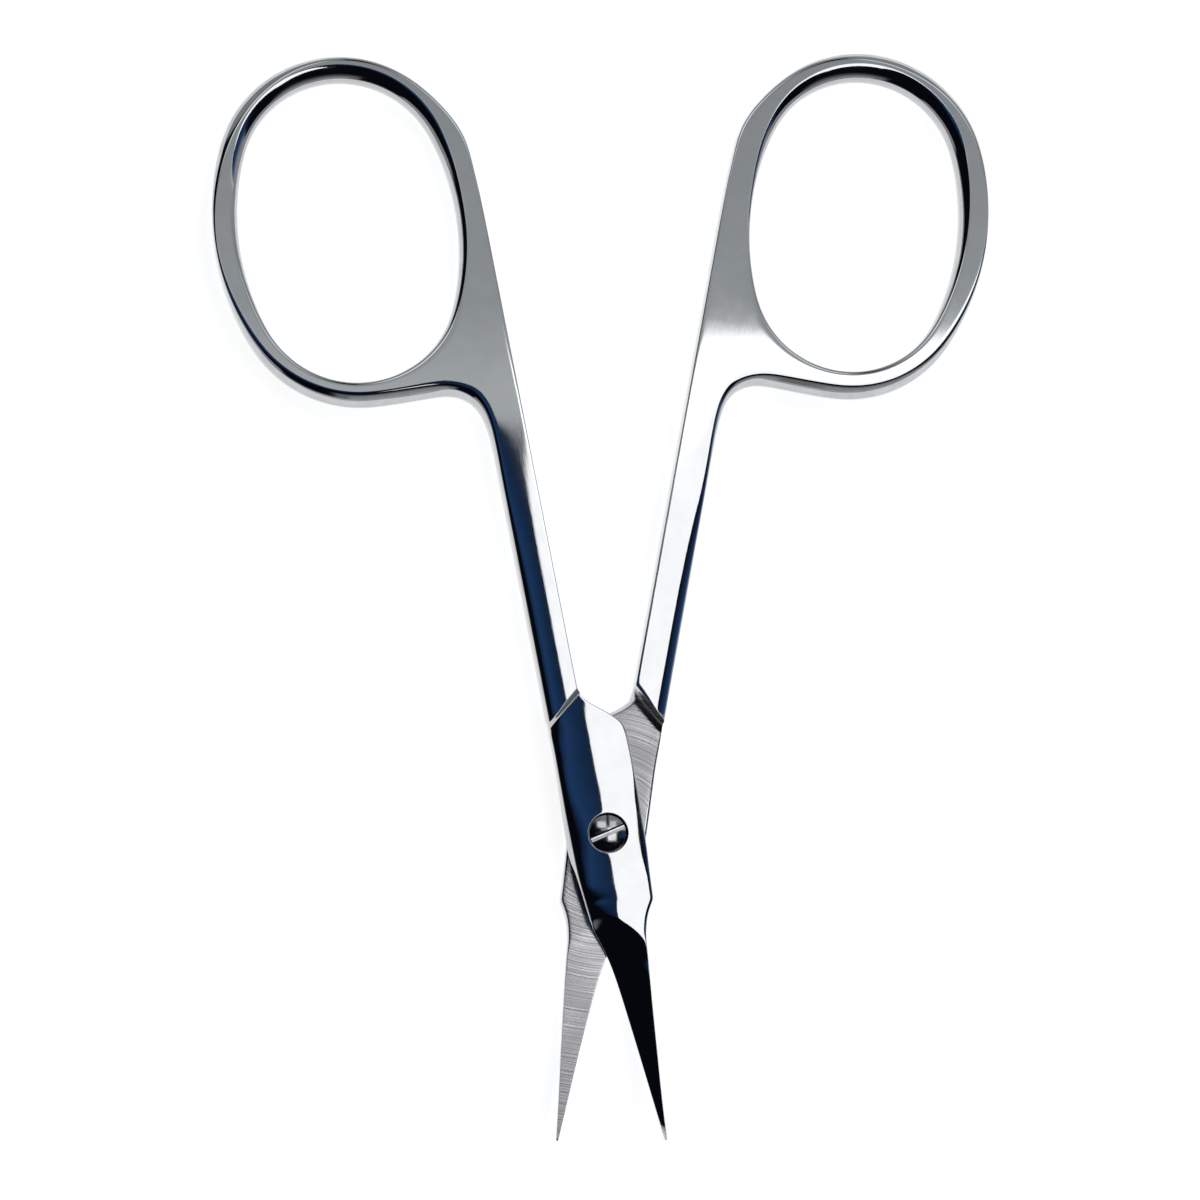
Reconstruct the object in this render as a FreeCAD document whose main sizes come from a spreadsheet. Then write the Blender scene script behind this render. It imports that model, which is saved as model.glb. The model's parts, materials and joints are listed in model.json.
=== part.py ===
import FreeCAD, Part
import Sketcher
import math
import os

# Cuticle scissors, lying open on their back, in millimetres.
# Two forged halves cross at a slotted pivot screw. Each half is a finger ring, a shank, a boss that
# laps over the other half's boss, and a slim blade that curves up towards its tip.
# A half is drawn closed, in axes of its own: the pivot is at the origin, the ring lies towards +Y,
# the handle lies at -X of the centre line and the boss stands on the lap plane, towards +Z.
# The back half is the same forging turned over about Y, with its blade bent the other way.

SIZES = {
    # How far the two halves stand apart, and the gaps they run with
    "opening_angle": 21.4,
    "handle_gap": 0.2,
    "lap_clearance": 0.06,
    "blade_clearance": 0.12,
    "overrun": 1.0,
    # Finger ring: the hole's oval, the bar round it, and how far both lean to the centre line
    "hole_width": 20.3,
    "hole_length": 28.9,
    "hole_end_radius": 9.2,
    "outer_bar": 2.5,
    "inner_bar": 2.65,
    "top_bar": 2.5,
    "bottom_bar": 2.4,
    "ring_lean_angle": 1.4,
    "hole_lean_angle": 3.5,
    "front_ring_reach": 60.05,
    "back_ring_reach": 61.55,
    # Handle bar, from the ring to the boss
    "handle_thickness": 3.0,
    "shank_width": 3.3,
    "shank_root_reach": 6.0,
    "crotch_radius": 3.9,
    "handle_edge_radius": 0.65,
    # Lap: the shoulder crosses the shank aslant
    "shoulder_reach": 14.2,
    "shoulder_drop": 2.5,
    "shoulder_root_radius": 0.5,
    # Boss outline, from the handle end to the blade, and its domed face
    "boss_crotch_reach": 13.8,
    "boss_crotch_offset": 0.55,
    "boss_crotch_depth": 1.05,
    "boss_half_width": 3.55,
    "boss_corner_reach": 10.0,
    "boss_step_reach": 10.7,
    "boss_heel_reach": 0.5,
    "heel_half_width": 3.08,
    "heel_reach": 6.4,
    "neck_half_width": 1.85,
    "neck_reach": 8.4,
    "plunge_half_width": 1.6,
    "plunge_reach": 10.6,
    "throat_half_width": 3.45,
    "throat_reach": 4.3,
    "throat_start_reach": 1.6,
    "boss_edge_height": 1.6,
    "boss_crown_height": 2.3,
    # Blade: plan from the root to the tip, rise of the tip, and thickness
    "blade_root_reach": 7.4,
    "blade_reach": 28.7,
    "lap_flat_reach": 8.6,
    "tip_rise": 3.0,
    "root_edge_offset": 3.0,
    "root_spine_offset": 2.0,
    "tip_edge_offset": 0.42,
    "tip_width": 0.16,
    "root_spine_thickness": 1.45,
    "tip_spine_thickness": 0.45,
    "root_edge_thickness": 0.9,
    "tip_edge_thickness": 0.1,
    # Pivot screw, and the holes it sits in
    "head_diameter": 3.34,
    "head_rim_height": 0.75,
    "head_crown_rise": 0.3,
    "recess_diameter": 3.68,
    "recess_depth": 1.05,
    "seat_clearance": 0.03,
    "neck_diameter": 2.5,
    "turning_clearance": 0.04,
    "thread_diameter": 2.0,
    "thread_clearance": 0.03,
    "thread_setback": 0.2,
    "slot_width": 0.55,
    "slot_depth": 0.45,
    "slot_angle": 23.0,
}

# Cross-sections of the blade, as shares of its length, and what is left of each root size there
station_shares = (0.0, 0.1, 0.24, 0.63, 1.0)
edge_offset_shares = (1.0, 0.76, 0.52, 0.225, 0.0)
edge_thickness_shares = (1.0, 0.5, 0.1, 0.05, 0.0)


class Measure:
    """A number, with the rule that works it out from the sheet of sizes."""

    def __init__(self, number, rule):
        self.number = number
        self.rule = rule

    def __neg__(self):
        return Measure(-self.number, f"(-{self.rule})")

    def __add__(self, other):
        return Measure(self.number + other.number, f"({self.rule} + {other.rule})")

    def __sub__(self, other):
        return Measure(self.number - other.number, f"({self.rule} - {other.rule})")

    def __mul__(self, other):
        other = as_measure(other)
        return Measure(self.number * other.number, f"({self.rule} * {other.rule})")

    def __truediv__(self, other):
        other = as_measure(other)
        return Measure(self.number / other.number, f"({self.rule} / {other.rule})")


def as_measure(value):
    return value if isinstance(value, Measure) else Measure(value, f"({value!r})")


def size(name):
    return Measure(SIZES[name], f"Sizes.{name}")


def sine(angle):
    return Measure(math.sin(math.radians(angle.number)), f"sin({angle.rule})")


def cosine(angle):
    return Measure(math.cos(math.radians(angle.number)), f"cos({angle.rule})")


def root(square):
    return Measure(math.sqrt(square.number), f"sqrt({square.rule})")


def write_sheet(doc):
    sheet = doc.addObject("Spreadsheet::Sheet", "Sizes")
    for row, (name, number) in enumerate(SIZES.items(), start=1):
        sheet.set(f"A{row}", name)
        sheet.set(f"B{row}", str(number))
        sheet.setAlias(f"B{row}", name)
    doc.recompute()


def new_body(doc, label):
    body = doc.addObject("PartDesign::Body", label)
    body.Label = label
    body.AllowCompound = True
    return body


def new_sketch(body, name, role, offset=None):
    """A sketch on one of the body's origin planes, moved along its normal by the offset."""
    plane = [item for item in body.Origin.OriginFeatures if item.Role == role][0]
    sketch = body.newObject("Sketcher::SketchObject", name)
    sketch.AttachmentSupport = (plane, [""])
    sketch.MapMode = "FlatFace"
    if offset is not None:
        sketch.setExpression("AttachmentOffset.Base.z", offset.rule)
    return sketch


def vector(point):
    return FreeCAD.Vector(point[0].number, point[1].number)


def pin(sketch, curve, end, point):
    """Holds one end of a curve at a place worked out from the sheet."""
    for kind, place in zip(("DistanceX", "DistanceY"), point):
        index = sketch.addConstraint(Sketcher.Constraint(kind, -1, 1, curve, end, place.number))
        sketch.setExpression(f"Constraints[{index}]", place.rule)


def draw_loop(sketch, corners, bulges=None):
    """Draws a closed outline. A bulge, by its side's number, is an arc's middle point and radius."""
    bulges = bulges or {}
    count = len(corners)
    for side in range(count):
        start = vector(corners[side])
        finish = vector(corners[(side + 1) % count])
        if side in bulges:
            sketch.addGeometry(Part.Arc(start, vector(bulges[side][0]), finish))
        else:
            sketch.addGeometry(Part.LineSegment(start, finish))
    for side in range(count):
        following = (side + 1) % count
        sketch.addConstraint(Sketcher.Constraint("Coincident", side, 2, following, 1))
        pin(sketch, side, 1, corners[side])
    for side, (_, radius) in bulges.items():
        index = sketch.addConstraint(Sketcher.Constraint("Radius", side, radius.number))
        sketch.setExpression(f"Constraints[{index}]", radius.rule)


def draw_circle(sketch, radius):
    circle = Part.Circle(FreeCAD.Vector(), FreeCAD.Vector(0, 0, 1), radius.number)
    sketch.addGeometry(circle)
    sketch.addConstraint(Sketcher.Constraint("Coincident", 0, 3, -1, 1))
    index = sketch.addConstraint(Sketcher.Constraint("Radius", 0, radius.number))
    sketch.setExpression(f"Constraints[{index}]", radius.rule)


def extrude(body, kind, name, sketch, length, symmetric=False, reverse=False):
    """Pads or pockets a sketch, and sees that the body's volume changes as it should."""
    before = body.Shape.Volume if body.Tip else 0
    feature = body.newObject(f"PartDesign::{kind}", name)
    feature.Profile = sketch
    feature.SideType = "Symmetric" if symmetric else "One side"
    feature.Reversed = reverse
    feature.setExpression("Length", length.rule)
    body.Document.recompute()
    grown = body.Shape.Volume > before
    if body.Shape.Volume == before or grown != (kind == "Pad"):
        raise ValueError(f"{name} does not change the body as a {kind} should")
    return feature


def fillet(body, name, radius, wanted):
    """Rounds every edge of the body that the given test picks."""
    base = body.Tip
    edges = [f"Edge{i}" for i, edge in enumerate(base.Shape.Edges, start=1) if wanted(edge)]
    if not edges:
        raise ValueError(f"{name} finds no edge to round")
    feature = body.newObject("PartDesign::Fillet", name)
    feature.Base = (base, edges)
    feature.setExpression("Radius", radius.rule)
    body.Document.recompute()


def near(first, second):
    return math.isclose(first, second, abs_tol=SIZES["lap_clearance"])


class Oval:
    """A leaning oval of four tangent arcs, with its long axis near Y."""

    def __init__(self, centre, half_width, half_length, end_radius, lean):
        self.centre = centre
        self.lean = lean
        self.half_width = half_width
        self.half_length = half_length
        self.end_radius = end_radius
        rise = half_length - end_radius
        self.side_radius = oval_side_radius(half_width, half_length, end_radius)
        spread = self.side_radius - end_radius
        self.join_across = end_radius * (self.side_radius - half_width) / spread
        self.join_along = rise * self.side_radius / spread

    def place(self, across, along):
        """A point of the oval's own axes, in the half's axes."""
        x = self.centre[0] + across * cosine(self.lean) + along * sine(self.lean)
        y = self.centre[1] - across * sine(self.lean) + along * cosine(self.lean)
        return x, y

    def draw(self, sketch):
        across, along = self.join_across, self.join_along
        zero = as_measure(0)
        joins = ((across, -along), (across, along), (-across, along), (-across, -along))
        middles = ((self.half_width, zero), (zero, self.half_length),
                   (-self.half_width, zero), (zero, -self.half_length))
        radii = (self.side_radius, self.end_radius, self.side_radius, self.end_radius)
        bulges = {i: (self.place(*middles[i]), radii[i]) for i in range(len(radii))}
        draw_loop(sketch, [self.place(*join) for join in joins], bulges)


def oval_side_radius(half_width, half_length, end_radius):
    """The radius of the long arcs that meet the end arcs smoothly."""
    rise = half_length - end_radius
    square = rise * rise + half_width * half_width - end_radius * end_radius
    return square / ((half_width - end_radius) * 2)


def ring_ovals(ring_reach):
    """The ring's outside, tangent to the handle's inner edge, and the finger hole in it."""
    lean = size("ring_lean_angle")
    bar_across = size("outer_bar") + size("inner_bar")
    bar_along = size("top_bar") + size("bottom_bar")
    half_width = (size("hole_width") + bar_across) / 2
    half_length = (size("hole_length") + bar_along) / 2
    end_radius = size("hole_end_radius") + bar_along / 2
    side_radius = oval_side_radius(half_width, half_length, end_radius)
    inset = side_radius - (side_radius - half_width) * cosine(lean)
    centre = (-size("handle_gap") / 2 - inset, ring_reach)
    outside = Oval(centre, half_width, half_length, end_radius, lean)
    hole_centre = outside.place((size("outer_bar") - size("inner_bar")) / 2,
                                (size("bottom_bar") - size("top_bar")) / 2)
    hole = Oval(hole_centre, size("hole_width") / 2, size("hole_length") / 2,
                size("hole_end_radius"), size("hole_lean_angle"))
    return outside, hole


def add_handle(body, ring_reach):
    """Ring and shank, of one thickness, with a straight inner edge and a rounded crotch."""
    lean = size("ring_lean_angle")
    thickness = size("handle_thickness")
    outside, hole = ring_ovals(ring_reach)
    ring = new_sketch(body, "RingOutline", "XY_Plane")
    outside.draw(ring)
    extrude(body, "Pad", "Ring", ring, thickness, symmetric=True)

    inner = -size("handle_gap") / 2
    outer = inner - size("shank_width")
    end_rise = outside.half_length - outside.end_radius
    tangent = ring_reach + (outside.side_radius - outside.half_width) * sine(lean)
    web = (outside.centre[0] - end_rise * sine(lean),
           ring_reach - end_rise * cosine(lean) - outside.end_radius)
    low = size("shank_root_reach")
    shank = new_sketch(body, "ShankOutline", "XY_Plane")
    draw_loop(shank, [(inner, low), (inner, tangent), (web[0], tangent),
                      web, (outer, web[1]), (outer, low)])
    extrude(body, "Pad", "Shank", shank, thickness, symmetric=True)

    def in_crotch(edge):
        box = edge.BoundBox
        upright = near(box.XLength, 0) and near(box.YLength, 0)
        return upright and near(box.XMin, outer.number) and near(box.YMin, web[1].number)

    fillet(body, "Crotch", size("crotch_radius"), in_crotch)

    finger_hole = new_sketch(body, "HoleOutline", "XY_Plane")
    hole.draw(finger_hole)
    extrude(body, "Pocket", "FingerHole", finger_hole, thickness * 2, symmetric=True)
    round_handle(body)


def round_handle(body):
    """Eases the edges of the ring, the finger hole and the shank, front and back."""
    face = SIZES["handle_thickness"] / 2

    def on_face(edge):
        box = edge.BoundBox
        level = near(box.ZLength, 0) and near(abs(box.ZMax), face)
        return level and not near(box.YMax, SIZES["shank_root_reach"])

    fillet(body, "HandleEdges", size("handle_edge_radius"), on_face)


def add_lap(body):
    """Cuts the shank to half its thickness below the slanting shoulder, with a rounded root."""
    overrun = size("overrun")
    slope = size("shoulder_drop") / size("shank_width")
    inner = -size("handle_gap") / 2
    outer = inner - size("shank_width")
    high = size("shoulder_reach")
    low = size("shank_root_reach") - overrun
    right = (inner + overrun, high + overrun * slope)
    left = (outer - overrun, high - size("shoulder_drop") - overrun * slope)
    floor = size("lap_clearance") / 2
    sketch = new_sketch(body, "LapOutline", "XY_Plane", floor)
    draw_loop(sketch, [right, left, (left[0], low), (right[0], low)])
    extrude(body, "Pocket", "Lap", sketch, size("handle_thickness"))

    def at_root(edge):
        box = edge.BoundBox
        level = near(box.ZMin, floor.number) and near(box.ZMax, floor.number)
        return level and near(box.YMax, high.number) and box.XLength > SIZES["shank_width"] / 2

    fillet(body, "ShoulderRoot", size("shoulder_root_radius"), at_root)


def blade_section(station, curl):
    """Corners of one cross-section: edge and spine on the inner face, then spine and edge outside."""
    along = station_shares[station]
    left = 1 - along
    edge = -(size("tip_edge_offset")
             + (size("root_edge_offset") - size("tip_edge_offset")) * edge_offset_shares[station])
    tip_spine = size("tip_width") - size("tip_edge_offset")
    spine = tip_spine + (size("root_spine_offset") - tip_spine) * left
    length = size("blade_reach") - size("blade_root_reach")
    reach = size("blade_root_reach") + length * along
    curved = (reach - size("lap_flat_reach")) / (size("blade_reach") - size("lap_flat_reach"))
    bent = curl if curved.number > 0 else 0
    inner = size("blade_clearance") / 2 + size("tip_rise") * curved * curved * bent
    spine_thickness = (size("tip_spine_thickness")
                       + (size("root_spine_thickness") - size("tip_spine_thickness")) * left)
    edge_thickness = (size("tip_edge_thickness")
                      + (size("root_edge_thickness") - size("tip_edge_thickness"))
                      * edge_thickness_shares[station])
    corners = [(edge, inner), (spine, inner),
               (spine, inner + spine_thickness), (edge, inner + edge_thickness)]
    return reach, corners


def add_blade(body, curl):
    """A blade lofted from its root to its tip, bent by the curl, flat inside and bevelled outside."""
    sections = []
    for station in range(len(station_shares)):
        reach, corners = blade_section(station, curl)
        sketch = new_sketch(body, f"BladeSection{station}", "XZ_Plane", reach)
        draw_loop(sketch, corners)
        sections.append(sketch)
    blade = body.newObject("PartDesign::AdditiveLoft", "Blade")
    blade.Profile = sections[0]
    blade.Sections = sections[1:]
    body.Document.recompute()


def add_boss(body):
    """The boss that laps over the other half and joins shank and blade, with its domed face."""
    floor = size("lap_clearance") / 2
    crown = size("boss_crown_height")
    half_width = size("boss_half_width")
    outline = new_sketch(body, "BossOutline", "XY_Plane", floor)
    draw_loop(outline, [
        (-size("handle_gap") / 2, size("boss_crotch_reach")),
        (-half_width, size("boss_step_reach")),
        (-half_width, -size("throat_start_reach")),
        (-size("throat_half_width"), -size("throat_reach")),
        (-size("root_edge_offset"), -size("blade_root_reach")),
        (size("plunge_half_width"), -size("plunge_reach")),
        (size("neck_half_width"), -size("neck_reach")),
        (size("heel_half_width"), -size("heel_reach")),
        (half_width, -size("boss_heel_reach")),
        (half_width, size("boss_corner_reach")),
        (size("boss_crotch_offset"), size("boss_crotch_reach") - size("boss_crotch_depth")),
    ])
    extrude(body, "Pad", "Boss", outline, crown - floor)

    overrun = size("overrun")
    sagitta = crown - size("boss_edge_height")
    radius = (half_width * half_width + sagitta * sagitta) / (sagitta * 2)
    wide = half_width + overrun
    foot = crown - radius + root(radius * radius - wide * wide)
    dome = new_sketch(body, "DomeOutline", "XZ_Plane")
    bulge = ((as_measure(0), crown), radius)
    above = crown + overrun
    draw_loop(dome, [(wide, foot), (-wide, foot), (-wide, above), (wide, above)], {0: bulge})
    extrude(body, "Pocket", "Dome", dome, (size("boss_crotch_reach") + overrun) * 2, symmetric=True)


def half(doc, label, ring_reach, curl):
    body = new_body(doc, label)
    add_handle(body, ring_reach)
    add_lap(body)
    add_blade(body, curl)
    add_boss(body)
    return body


def front_half(doc):
    """The upper half, with the counterbore for the screw's head and the hole for its neck."""
    body = half(doc, "front_half", size("front_ring_reach"), 1)
    crown = size("boss_crown_height")
    neck = new_sketch(body, "NeckCircle", "XY_Plane")
    draw_circle(neck, size("neck_diameter") / 2 + size("turning_clearance"))
    extrude(body, "Pocket", "NeckHole", neck, crown + size("overrun"), reverse=True)
    recess = new_sketch(body, "RecessCircle", "XY_Plane", crown - size("recess_depth"))
    draw_circle(recess, size("recess_diameter") / 2)
    extrude(body, "Pocket", "HeadRecess", recess, size("recess_depth") + size("overrun"), reverse=True)
    return body


def back_half(doc):
    """The lower half, turned over, with the hole that holds the screw's thread."""
    body = half(doc, "back_half", size("back_ring_reach"), -1)
    thread = new_sketch(body, "ThreadCircle", "XY_Plane")
    draw_circle(thread, size("thread_diameter") / 2 + size("thread_clearance"))
    depth = size("boss_crown_height") + size("overrun")
    extrude(body, "Pocket", "ThreadHole", thread, depth, reverse=True)
    return body


def pivot_screw(doc):
    """The screw: domed slotted head, plain neck in the front half, threaded end in the back half."""
    body = new_body(doc, "pivot_screw")
    seat = size("boss_crown_height") - size("recess_depth") + size("seat_clearance")
    rim = seat + size("head_rim_height")
    top = rim + size("head_crown_rise")
    tail = size("thread_setback") - size("boss_crown_height")
    head = size("head_diameter") / 2
    neck = size("neck_diameter") / 2
    thread = size("thread_diameter") / 2
    zero = as_measure(0)
    rise = size("head_crown_rise")
    crown_radius = (head * head + rise * rise) / (rise * 2)
    middle = (head / 2, top - crown_radius + root(crown_radius * crown_radius - head * head / 4))
    profile = new_sketch(body, "ScrewProfile", "XZ_Plane")
    draw_loop(profile, [(zero, tail), (thread, tail), (thread, zero), (neck, zero), (neck, seat),
                        (head, seat), (head, rim), (zero, top)], {6: (middle, crown_radius)})
    turned = body.newObject("PartDesign::Revolution", "Turned")
    turned.Profile = profile
    turned.ReferenceAxis = (profile, ["V_Axis"])
    doc.recompute()
    slot = new_sketch(body, "SlotOutline", "XY_Plane", top - size("slot_depth"))
    half_width = size("slot_width") / 2
    end = size("head_diameter")
    draw_loop(slot, [(end, half_width), (-end, half_width), (-end, -half_width), (end, -half_width)])
    extrude(body, "Pocket", "Slot", slot, size("slot_depth") + size("overrun"), reverse=True)
    return body


def lay_out(front, back, screw):
    """Opens the halves by equal turns, and lays them on the ground with their outline centred."""
    upright = FreeCAD.Vector(0, 0, 1)
    turn = SIZES["opening_angle"] / 2
    turned_over = FreeCAD.Rotation(FreeCAD.Vector(0, 1, 0), 180)
    spins = {
        front: FreeCAD.Rotation(upright, turn),
        back: FreeCAD.Rotation(upright, -turn) * turned_over,
        screw: FreeCAD.Rotation(upright, SIZES["slot_angle"]),
    }
    box = FreeCAD.BoundBox()
    for body, spin in spins.items():
        body.Placement = FreeCAD.Placement(FreeCAD.Vector(), spin)
        box.add(body.Shape.optimalBoundingBox())
    corner = FreeCAD.Vector(-box.Center.x, -box.Center.y, -box.ZMin)
    for body, spin in spins.items():
        body.Placement = FreeCAD.Placement(corner, spin)
    print("pivot axis at", corner)


def check(doc, bodies):
    for item in doc.Objects:
        if "Invalid" in item.State or "Error" in item.State:
            raise ValueError(f"{item.Label} failed: {item.State}")
    for body in bodies:
        shape = body.Shape
        if shape.isNull() or not shape.isValid() or len(shape.Solids) != 1:
            raise ValueError(f"{body.Label} is not one sound solid")


doc = FreeCAD.newDocument("cuticle_scissors")
write_sheet(doc)
bodies = [front_half(doc), back_half(doc), pivot_screw(doc)]
lay_out(*bodies)
doc.recompute()
check(doc, bodies)
os.makedirs("parts", exist_ok=True)
for body in bodies:
    body.Shape.exportStep(f"parts/{body.Label}.step")
    print(body.Label, round(body.Shape.Volume, 2), "mm3")
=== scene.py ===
import json
import math
import bmesh
import bpy
from mathutils import Matrix, Vector


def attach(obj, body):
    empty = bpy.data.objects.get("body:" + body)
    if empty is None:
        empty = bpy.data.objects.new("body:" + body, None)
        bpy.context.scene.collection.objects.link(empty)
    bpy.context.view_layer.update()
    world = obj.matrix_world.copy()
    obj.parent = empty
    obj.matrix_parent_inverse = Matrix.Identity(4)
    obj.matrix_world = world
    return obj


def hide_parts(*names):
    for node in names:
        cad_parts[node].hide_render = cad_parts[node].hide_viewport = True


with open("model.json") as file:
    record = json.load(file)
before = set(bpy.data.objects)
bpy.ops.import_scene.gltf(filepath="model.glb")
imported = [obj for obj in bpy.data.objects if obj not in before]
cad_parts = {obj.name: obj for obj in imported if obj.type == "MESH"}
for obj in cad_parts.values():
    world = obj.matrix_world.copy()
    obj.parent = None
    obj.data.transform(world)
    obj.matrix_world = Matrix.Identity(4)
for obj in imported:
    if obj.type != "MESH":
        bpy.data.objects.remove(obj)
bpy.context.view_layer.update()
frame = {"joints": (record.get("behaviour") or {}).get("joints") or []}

# Back half: the lower forging, with the right-hand ring and the left-hand blade. One stainless blank is
# forged, ground and polished all over, and only its lap and the inside of its blade keep the satin of the
# grinding wheel. It carries the thread of the pivot screw.
MM = 0.001
pivot_joint = next(joint for joint in frame["joints"] if joint["name"] == "blade_pivot")
pivot = Vector(pivot_joint["pos_m"])
half_opening = math.radians(-pivot_joint["range_deg"][0] / 2)

# Finger ring, in millimetres, in the axes of a closed half: pivot at the origin, ring towards +Y, front +Z.
# Turns are directions from the ring's centre, and its bar runs from the top of the shank round to the crotch
inner_edge = -0.1
hole_half_width = 10.15
hole_half_length = 14.45
hole_end_radius = 9.2
hole_lean = math.radians(3.5)
outer_bar = 2.5
inner_bar = 2.65
top_bar = 2.5
bottom_bar = 2.4
ring_lean = math.radians(1.4)
ring_corner = 0.55
ring_corner_turn = math.radians(33)
ring_corner_spread = math.radians(12)
polish_loss = 0.02
bottom_turn = math.radians(270)
crotch_turn = math.radians(290)
shank_top_turn = math.radians(-45)
bar_half = 1.5

# Rounding of the bar's edges: how wide it is at the sides, and what the top and the bottom add to it
edge_lip = 0.08
outer_lip = 0.09
outer_lip_top = 0.2
outer_lip_bottom = 0.8
rolled_spread = math.radians(26)
hole_lip = 0.2
hole_lip_top = 1.0
deepest_lip = 0.55
deepest_lip_bottom = 1.0
lip_fall = 1.2
lip_support = 0.3
lip_spread = 1.3


def oval(centre, half_width, half_length, end_radius, lean):
    """The point of a leaning four-arc oval in a given direction from its centre, and its outward normal."""
    rise = half_length - end_radius
    side_radius = (rise**2 + half_width**2 - end_radius**2) / (2 * (half_width - end_radius))
    join = math.atan2(rise * side_radius, end_radius * (side_radius - half_width))
    leaning = Matrix.Rotation(-lean, 2)

    def at(turn):
        aim = Vector((math.cos(turn), math.sin(turn)))
        if abs(aim.y) < math.sin(join):
            middle = Vector((math.copysign(side_radius - half_width, -aim.x), 0))
            radius = side_radius
        else:
            middle = Vector((0, math.copysign(rise, aim.y)))
            radius = end_radius
        along = aim.dot(middle)
        point = aim * (along + math.sqrt(along**2 + radius**2 - middle.length_squared))
        return centre + leaning @ point, leaning @ (point - middle).normalized()

    return at


def ring_outlines(ring_reach, hole_growth):
    """The outline of the ring and that of its hole, each as a rule from direction to point and normal."""
    half_width = hole_half_width + (outer_bar + inner_bar) / 2
    half_length = hole_half_length + (top_bar + bottom_bar) / 2
    end_radius = hole_end_radius + (top_bar + bottom_bar) / 2
    centre = Vector((inner_edge - half_width, ring_reach))
    hole_centre = centre + Vector(((outer_bar - inner_bar) / 2, (bottom_bar - top_bar) / 2))
    round_side = oval(centre, half_width, half_length, end_radius, ring_lean)
    hole = oval(hole_centre, hole_half_width + hole_growth, hole_half_length + hole_growth,
                hole_end_radius + hole_growth, hole_lean)

    def outside(turn):
        aim = Vector((math.cos(turn), math.sin(turn)))
        if turn <= 0:
            return centre + aim * half_width / aim.x, Vector((1, 0))
        if turn >= bottom_turn:
            return centre - aim * half_length / aim.y, Vector((0, -1))
        point, away = round_side(turn)
        corner = ring_corner * math.exp(-((turn - ring_corner_turn) / ring_corner_spread) ** 2)
        return point + away * (corner - polish_loss), away

    return outside, hole


def at_height(point, height):
    return Vector((point.x, point.y, height))


def ring_section(outer, away, inner, inward, turn, rolled, hole_lips):
    """One section of the ring's bar: front, wall of the finger hole, back, outer wall."""
    up = max(0, math.sin(turn)) ** 2
    down = max(0, -math.sin(turn)) ** 2
    rolled_lip, rolled_turn = rolled
    lip = outer_lip + outer_lip_top * up + outer_lip_bottom * down
    lip += rolled_lip * math.exp(-((turn - rolled_turn) / rolled_spread) ** 2)
    lip = edge_lip + (lip - edge_lip) * min(1, max(0, turn / ring_corner_turn))
    outer_side_lip, inner_side_lip = hole_lips
    bore = hole_lip + hole_lip_top * up + inner_side_lip * max(0, math.cos(turn)) ** 2
    bore += outer_side_lip * max(0, -math.cos(turn)) ** 2 * (1 + math.sin(turn)) / 2
    face = [outer - away * lip, outer - away * (lip + lip_support),
            inner + inward * (bore + lip_support), inner + inward * bore]
    hole_height = bar_half - min(bore * lip_fall, deepest_lip)
    wall_height = bar_half - min(lip * lip_fall, deepest_lip + deepest_lip_bottom * down)
    return ([at_height(point, bar_half) for point in face]
            + [at_height(inner, height) for height in (hole_height, 0, -hole_height)]
            + [at_height(point, -bar_half) for point in reversed(face)]
            + [at_height(outer, height) for height in (-wall_height, 0, wall_height)])


# Shank: leaves the ring in a rounded crotch, and its front is ground down towards the outside. Lips are the
# roundings of the front's left and right edge and of the back's right and left edge, and holds say how near
# to the left and right edge, in shares of the width, the front keeps to its grinding
shank_width = 3.3
shank_drop = 0.32
shank_inner_drop = 0.06
shank_ridge_share = 0.58
shank_back_round = 0.32
back_round_share = 0.4
shank_lips = (0.2, 0.07, 0.07, 0.12)
bar_holds = (0.25, 0.07)
# Each row: place of the left edge, how far its ends lie below the ring's bottom, rounding of the left edge
crotch_rows = ((-5.5, 0.45, -2.0, 0.75),
               (-4.5, 1.15, 0.0, 0.6),
               (-3.75, 2.5, 1.9, 0.42),
               (-3.4, 4.9, 4.4, 0.3))
# Each row: reach of its left and right end, share of the full grinding
shank_rows = ((34.5, 34.7, 0.3),
              (30.0, 30.5, 0.65),
              (25.5, 26.3, 0.9),
              (21.0, 22.2, 1),
              (17.0, 18.7, 1),
              (14.4, 16.6, 1))


def crowned(left, ridge, right, ridge_share):
    """Height across a face that is ground to a ridge, from its left edge to its right edge."""
    def height(share):
        if share < ridge_share:
            return ridge - (ridge - left) * ((ridge_share - share) / ridge_share) ** 2
        return ridge - (ridge - right) * ((share - ridge_share) / (1 - ridge_share)) ** 2

    return height


def sloping(left, right):
    """Height across a face that is ground flat, from its left edge to its right edge."""
    def height(share):
        return left + (right - left) * share

    return height


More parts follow.
